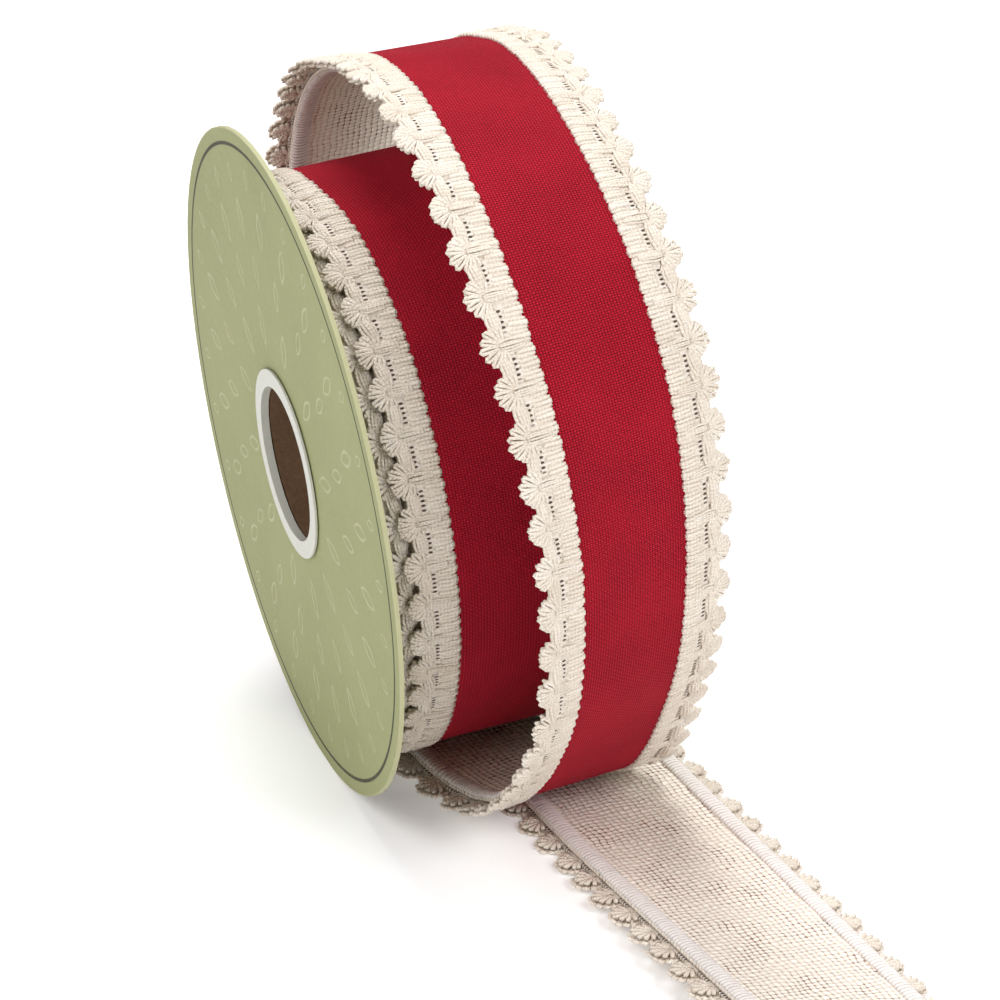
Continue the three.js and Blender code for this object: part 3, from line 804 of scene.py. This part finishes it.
def spool_frame(nodes):
    """Distance from the spool's axis in millimetres, turn about it, and place along it."""
    axis = (SHIFT + np.array([0, 0, AXIS_Z])) / PER_METRE
    move = nodes.add("ShaderNodeVectorMath", operation="SUBTRACT")
    nodes.link(nodes.place(), move.inputs[0])
    move.inputs[1].default_value = tuple(axis)
    turn = nodes.add("ShaderNodeVectorRotate", rotation_type="Y_AXIS")
    nodes.link(move.outputs[0], turn.inputs["Vector"])
    turn.inputs["Angle"].default_value = TILT
    x, y, z = nodes.split(turn.outputs[0])
    y = nodes.times(y, PER_METRE)
    z = nodes.times(z, PER_METRE)
    radius = nodes.math("SQRT", nodes.plus(nodes.times(y, y), nodes.times(z, z)))
    angle = nodes.parted(nodes.math("ARCTAN2", z, y), 2 * math.pi)
    return radius, angle, nodes.times(x, PER_METRE)


def card(name):
    """Printed green card: a dark line near the rim and plain petals in rings, tone on tone."""
    nodes = Nodes(name)
    place = nodes.place()
    radius, angle, _ = spool_frame(nodes)
    mottle = nodes.noise(place, 700.0, 4.0, 0.7)
    cloud = nodes.noise(place, 28.0, 3.0)
    tone = nodes.scaled(nodes.centred(cloud), 0.6, mottle, clamp=True)
    green = nodes.mix(tone, GREEN_DARK, GREEN_LIGHT)
    total = None
    for ring, number, half_length, half_width, start in PETAL_RINGS:
        local = nodes.centred(nodes.fraction(nodes.scaled(angle, float(number), start)))
        u = nodes.parted(nodes.times(local, 2 * math.pi * ring / number), half_width)
        w = nodes.parted(nodes.minus(radius, ring), half_length)
        petal = nodes.plus(nodes.math("ABSOLUTE", u), nodes.times(w, w))
        outline = nodes.span(nodes.distance(petal, PETAL_OUTLINE), 0.10, 0.2, 1.0, 0.0)
        total = nodes.greater(total, outline)
    worn = nodes.span(nodes.noise(place, 260.0, 3.0), 0.35, 0.6, 0.45, 1.0)
    colour = nodes.mix(nodes.times(nodes.times(total, worn), 0.62), green, GREEN_PALE)
    line = nodes.span(nodes.distance(radius, RIM_LINE), 0.32, 0.5, 1.0, 0.0)
    line = nodes.times(line, nodes.span(mottle, 0.2, 0.5, 0.75, 0.95))
    colour = nodes.mix(line, colour, CARD_LINE)
    colour = nodes.mix(nodes.span(radius, *RIM_EDGE), colour, CARD_EDGE)
    nodes.bump(nodes.plus(mottle, nodes.times(cloud, 0.5)), CARD_RELIEF)
    return nodes.finish(colour, nodes.span(mottle, 0.2, 0.8, 0.55, 0.7), 0.2)


def tube_board(name):
    """Brown board wound in a long spiral, with a paler seam where its edges meet."""
    nodes = Nodes(name)
    place = nodes.place()
    _, angle, across = spool_frame(nodes)
    spiral = nodes.fraction(nodes.scaled(across, 1 / BOARD_TURN, angle))
    seam = nodes.span(nodes.distance(spiral, 0.5), 0.006, 0.016, 1.0, 0.0)
    fibre = nodes.noise(place, 900.0, 4.0, 0.65)
    cloud = nodes.noise(place, 60.0, 3.0)
    tone = nodes.scaled(nodes.centred(cloud), 0.8, fibre, clamp=True)
    colour = nodes.mix(tone, BOARD_DARK, BOARD_LIGHT)
    colour = nodes.mix(nodes.times(seam, 0.7), colour, BOARD_SEAM)
    nodes.bump(nodes.minus(fibre, nodes.times(seam, 0.8)), BOARD_RELIEF)
    return nodes.finish(colour, 0.9, 0.15)


def ring_plastic(name):
    """Off-white plastic with faint turned lines."""
    nodes = Nodes(name)
    place = nodes.place()
    radius, _, _ = spool_frame(nodes)
    turned = nodes.math("SINE", nodes.times(radius, 14.0))
    cloud = nodes.noise(place, 130.0, 3.0)
    speck = nodes.noise(place, 1500.0)
    tone = nodes.scaled(speck, 0.3, nodes.times(cloud, 0.6), clamp=True)
    nodes.bump(nodes.scaled(turned, 0.2, speck), RING_RELIEF)
    return nodes.finish(nodes.mix(tone, RING_DARK, RING_LIGHT),
                        nodes.span(cloud, 0.3, 0.7, 0.38, 0.5), 0.5)


red_material = band_cloth("band_weave")
cloth_material = open_cloth("backing_weave")
seam_material = stitched_seam("seam_stitches")
ground_material = braid_ground("braid_ground")
cotton_material = cotton("crochet_cotton")
side_material = wound_side("wound_layers")
card_material = card("printed_card")
core_material = tube_board("tube_board")
hub_material = ring_plastic("hub_plastic")

# ---------------------------------------------------------------- loose ribbon
SEAM_ACROSS, SEAM_HALF, SEAM_BASE, SEAM_HEIGHT, SEAM_ROUND = 17.4, 1.95, -0.85, 1.1, 0.75
SEAM_FOOT_HALF, SEAM_FOOT, SEAM_POINTS = 1.0, -0.8, 8
STITCH_RINGS, STITCH_SWELL = np.array([0.0, 0.24, 0.8]), [0.76, 1.0, 1.03]
STITCH_SEED = 5


def ribbon_sheet(name, mapper, distances, section, material, looped=False):
    points, quads, local = strip(mapper, distances, section, looped)
    return make_mesh(name, points, quads, material, {"ribbon": local})


def stitched_seams():
    """Satin-stitched seams on the reverse, over the edge wires: three rings to a stitch."""
    count = round(ROUTE_LENGTH / STITCH)
    steps = (np.arange(count)[:, None] + STITCH_RINGS).ravel() * ROUTE_LENGTH / count
    uneven = np.random.default_rng(STITCH_SEED).uniform(0.97, 1.03, 3 * count)
    swell = np.tile(STITCH_SWELL, count) * uneven
    arc = np.linspace(0, math.pi, SEAM_POINTS)
    parts = []
    for side in (-1, 1):
        ridge = np.column_stack([side * (SEAM_ACROSS - SEAM_HALF * np.cos(arc)),
                                 SEAM_BASE - SEAM_HEIGHT * np.sin(arc) ** SEAM_ROUND])
        ridge = np.vstack([ridge, [side * (SEAM_ACROSS + SEAM_FOOT_HALF), SEAM_FOOT],
                           [side * (SEAM_ACROSS - SEAM_FOOT_HALF), SEAM_FOOT]])
        if side < 0:
            ridge = ridge[::-1]
        about = np.array([side * SEAM_ACROSS, SEAM_BASE])
        points, quads, local = strip(on_route, steps, ridge, False, swell, about)
        parts.append((points, quads, local * np.array([STITCH * count / ROUTE_LENGTH, 1, 1])))
    points, quads, local = joined(parts)
    return make_mesh("edge_seams", points, quads, seam_material, {"ribbon": local})


def braid_mesh(name, mapper, length, steps, looped=False):
    points, quads, marks = braid(mapper, length, steps, looped)
    return make_mesh(name, points, quads, ground_material, {"ribbon": marks})


bend_steps = np.linspace(0, ROUTE_LENGTH, BEND_STEPS)
backing = ribbon_sheet("loose_backing", on_route, bend_steps,
                       sheet_section(CLOTH_HALF, CLOTH_UNDER, CLOTH_OVER, CLOTH_COLUMNS),
                       cloth_material)
face = ribbon_sheet("loose_face", on_route, bend_steps,
                    sheet_section(BAND_HALF, BAND_UNDER, BAND_OVER, BAND_COLUMNS), red_material)
seams = stitched_seams()
ground = braid_mesh("loose_braid", on_route, ROUTE_LENGTH, BEND_STEPS)
trims = []
for trim_name, side, seed in (("crochet_left", -1, 11), ("crochet_right", 1, 12)):
    heap = Heap(on_route)
    full_trim(heap, seed, ROUTE_LENGTH, side)
    trims.append(heap.mesh(trim_name, cotton_material))

# ---------------------------------------------------------------- wound roll
# Across along the axis, and depth below the outermost turn; None is at the core
ROLL_PROFILE = ((2.2, None), (2.2, -4.4), (3.2, -3.5), (16, -2.2), (30, -1.9), (44, -2.2),
                (54.9, -3.5), (55.8, -4.4), (55.8, None))

turn_steps = np.linspace(0, ROLL_ARC, TURN_STEPS)
roll_band = ribbon_sheet("roll_face", on_roll, turn_steps[:-1],
                         sheet_section(BAND_HALF, BAND_UNDER, ROLL_BAND_OVER, BAND_COLUMNS),
                         red_material, looped=True)
roll_ground = braid_mesh("roll_braid", on_roll, ROLL_ARC, TURN_STEPS, True)
roll_heap = Heap(on_roll)
for side, seed in ((-1, 21), (1, 22)):
    full_trim(roll_heap, seed, ROLL_ARC, side)
roll_trims = roll_heap.mesh("roll_crochet", cotton_material)
lower_heap = Heap(on_lower_turn)
for side, seed in ((-1, 31), (1, 32)):
    plain_trim(lower_heap, seed, ROLL_ARC, side)
lower_trims = lower_heap.mesh("lower_crochet", cotton_material)


def roll_body():
    count = len(ROLL_PROFILE)
    across = np.array([place for place, _ in ROLL_PROFILE])
    turns = np.linspace(ROLL_FROM, ROLL_TO, TURN_STEPS)[:-1]
    rings, local = [], []
    for turn in turns:
        outside = float(turn_radius(turn))
        radius = np.array([ROLL_INNER if depth is None else outside + depth
                           for _, depth in ROLL_PROFILE])
        rings.append(spool_point(across, radius, turn))
        local.append(np.column_stack([np.full(count, turn), across, radius]))
    return make_mesh("roll_body", np.vstack(rings), ring_quads(len(turns), count, True),
                     side_material, {"ribbon": np.vstack(local)})


body = roll_body()

# ---------------------------------------------------------------- spool: the frame's own nodes
for node, material in (
        ("spool_flange_left", card_material), ("spool_flange_right", card_material),
        ("spool_core", core_material),
        ("hub_ring_left", hub_material), ("hub_ring_right", hub_material)):
    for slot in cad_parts[node].material_slots:
        slot.material = material

# ---------------------------------------------------------------- riding and standing for CAD nodes
for obj, nodes_replaced, slot in (
        (backing, ["ribbon_backing"], "cloth"), (seams, [], "cloth"),
        (face, ["ribbon_face"], "band"),
        (trims[0], ["trim_left"], "crochet"), (trims[1], ["trim_right"], "crochet"),
        (body, ["ribbon_roll"], "cloth"), (roll_band, [], "band"), (roll_trims, [], "crochet"),
        (lower_trims, [], "crochet"), (ground, [], "crochet"), (roll_ground, [], "crochet")):
    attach(obj, "root")
    if nodes_replaced:
        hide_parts(*nodes_replaced)

# ---------------------------------------------------------------- floor, light and camera
WHITE = (1, 1, 1, 1)
FLOOR_DARK, FLOOR_LIGHT, FLOOR_GLOW = (0.93, 0.93, 0.93), (0.95, 0.95, 0.95), 0.2
FLOOR_CORNERS = [(-4, -4, 0), (4, -4, 0), (4, 6, 0), (-4, 6, 0)]
LIGHT_SIZE, LIGHT_TARGET = 0.8, (0, 0, 0.07)
LIGHTS = (  # name, place in metres, power in watts
    ("left_light", (-1.1, -0.08, 1.15), 5.5), ("front_left_light", (-0.85, -0.8, 1.0), 6.5),
    ("front_right_light", (0.5, -1.05, 0.95), 10.5), ("right_light", (1.1, -0.2, 0.9), 2.0),
    ("back_light", (0.1, 0.9, 1.3), 16.0), ("top_light", (0, 0, 1.6), 6.0),
)
WORLD_GLOW = 0.06
CAMERA_AZIMUTH, CAMERA_ELEVATION = math.radians(-19.128), math.radians(24.921)
CAMERA_PLACE = np.array([-249.8, -861.3, 481.7])
CAMERA_SENSOR, CAMERA_LENS, CAMERA_NEAR = 36, 162, 0.05

scene = bpy.context.scene


def floor():
    nodes = Nodes("studio_floor")
    cloud = nodes.noise(nodes.place(), 40.0)
    nodes.finish(nodes.mix(cloud, FLOOR_DARK, FLOOR_LIGHT), 0.9, 0.1)
    nodes.shader.inputs["Emission Color"].default_value = WHITE
    nodes.shader.inputs["Emission Strength"].default_value = FLOOR_GLOW
    mesh = bpy.data.meshes.new("studio_floor")
    mesh.from_pydata(FLOOR_CORNERS, [], [(0, 1, 2, 3)])
    mesh.materials.append(nodes.material)
    obj = bpy.data.objects.new("studio_floor", mesh)
    scene.collection.objects.link(obj)


def area_light(name, place, power):
    light = bpy.data.lights.new(name, "AREA")
    light.shape = "DISK"
    light.size = LIGHT_SIZE
    light.energy = power
    obj = bpy.data.objects.new(name, light)
    obj.location = place
    aim = Vector(LIGHT_TARGET) - Vector(place)
    obj.rotation_euler = aim.to_track_quat("-Z", "Y").to_euler()
    scene.collection.objects.link(obj)


def photo_camera():
    camera = bpy.data.cameras.new("photo_camera")
    camera.sensor_width = CAMERA_SENSOR
    camera.lens = CAMERA_LENS
    camera.clip_start = CAMERA_NEAR
    obj = bpy.data.objects.new("photo_camera", camera)
    level = math.cos(CAMERA_ELEVATION)
    back = Vector((math.sin(CAMERA_AZIMUTH) * level, -math.cos(CAMERA_AZIMUTH) * level,
                   math.sin(CAMERA_ELEVATION)))
    right = Vector((math.cos(CAMERA_AZIMUTH), math.sin(CAMERA_AZIMUTH), 0))
    rotation = Matrix((right, back.cross(right), back)).transposed().to_4x4()
    eye = (CAMERA_PLACE + SHIFT) / PER_METRE
    obj.matrix_world = Matrix.Translation(Vector(eye)) @ rotation
    scene.collection.objects.link(obj)
    scene.camera = obj


floor()
for light_name, light_place, light_power in LIGHTS:
    area_light(light_name, light_place, light_power)
world = bpy.data.worlds.new("studio_world")
world.use_nodes = True
world.node_tree.nodes["Background"].inputs["Color"].default_value = WHITE
world.node_tree.nodes["Background"].inputs["Strength"].default_value = WORLD_GLOW
scene.world = world
scene.view_settings.view_transform = "Standard"
photo_camera()
